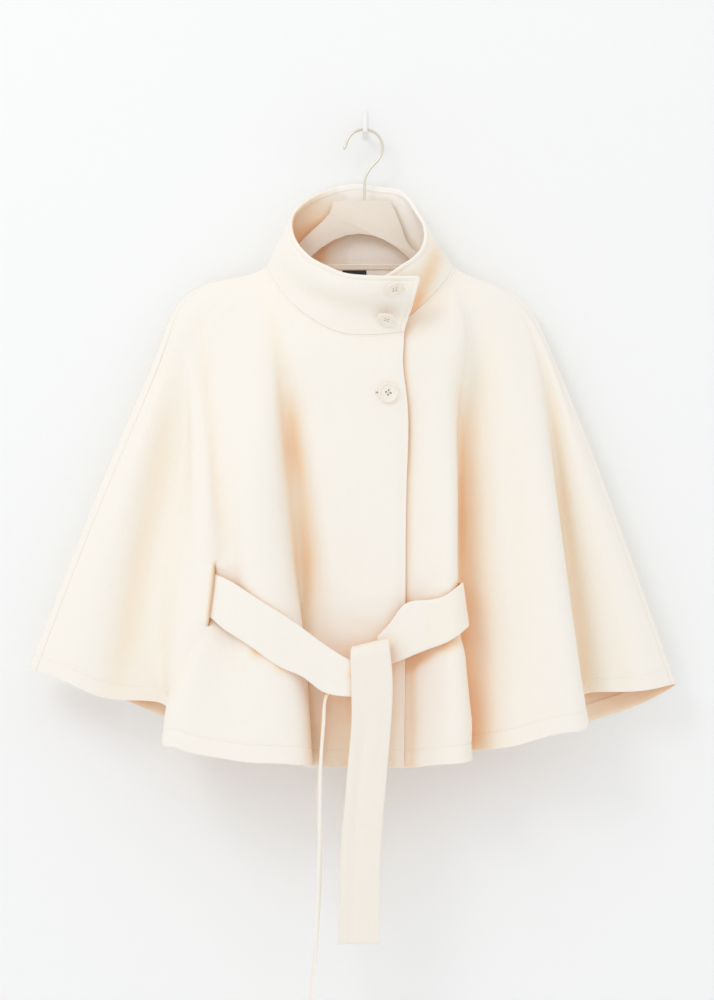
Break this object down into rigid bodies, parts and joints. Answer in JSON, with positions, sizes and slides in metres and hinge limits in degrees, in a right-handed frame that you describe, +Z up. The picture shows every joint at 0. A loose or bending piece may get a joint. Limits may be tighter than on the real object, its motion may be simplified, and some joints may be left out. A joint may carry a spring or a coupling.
{
  "type": "belted cape jacket",
  "caption": "Short flared cape jacket with a funnel collar, lapped front, round buttons and a tie belt through front slits, hung on a flat hanger from a small wall hook.",
  "frame": {"origin": "middle of the wall hook's plate, where it meets the wall", "axes": "+Z up; +Y back into the wall; +X to the right as seen from the front, which is the wearer's left"},
  "size_m": [0.8048, 0.1474, 1.1552],
  "materials": {
    "cloth": "smooth matt wool coating cloth, ivory",
    "label": "woven, plain black",
    "button": "satin cream",
    "hanger": "flat pale beige",
    "wire": "pale plated wire",
    "wall_hook": "white gloss"
  },
  "bodies": {
    "root": {"front_left": "cloth", "back": "cloth", "front_right": "cloth", "collar": "cloth", "neck_tape": "cloth", "belt_left": "cloth", "belt_right": "cloth", "belt_run": "cloth", "belt_tail_front": "cloth", "belt_tail_side": "cloth", "label": "label", "button_1": "button", "button_2": "button", "button_3": "button", "hanger_body": "hanger", "hanger_hook": "wire", "wall_hook": "wall_hook"}
  },
  "joints": []
}
